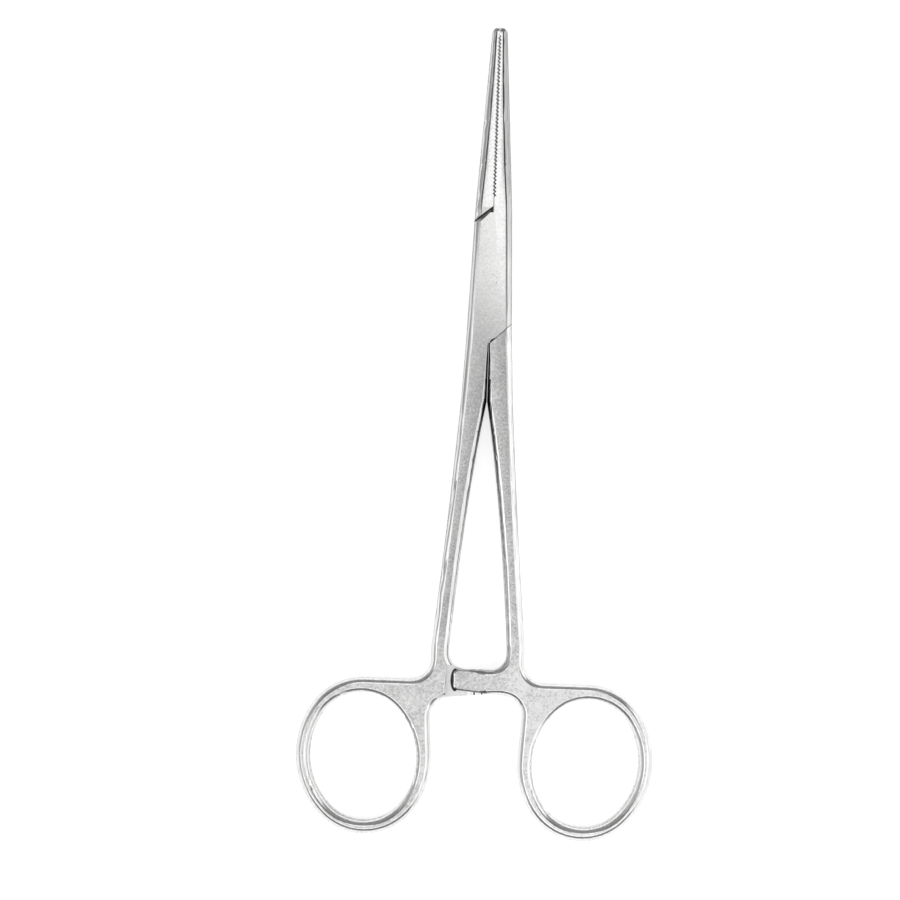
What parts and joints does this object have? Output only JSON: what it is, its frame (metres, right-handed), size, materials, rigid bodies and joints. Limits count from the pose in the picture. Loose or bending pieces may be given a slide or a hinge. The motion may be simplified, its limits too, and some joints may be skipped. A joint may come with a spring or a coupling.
{
  "type": "hemostat forceps",
  "caption": "Straight locking forceps with a box lock, cross-serrated jaws, a toothed ratchet behind the shanks and a finger ring on each half.",
  "frame": {"origin": "on the pin's axis, in the plane of the underside of the box lock", "axes": "+Y from the pin to the jaw tips, +Z along the pin's axis out of the upper face, +X towards the through half's finger ring"},
  "size_m": [0.0704, 0.1601, 0.0046],
  "materials": {
    "satin_steel": "satin stainless steel, ground by hand, with bright bevel edges"
  },
  "bodies": {
    "box_body": {"box_half": "satin_steel", "lock_pin": "satin_steel"},
    "through_body": {"through_half": "satin_steel"}
  },
  "joints": [
    {"name": "box_lock", "type": "hinge", "parent": "box_body", "child": "through_body", "pos_m": [0, 0, 0.0023], "axis": [0, 0, 1], "range_deg": [0, 45]}
  ]
}
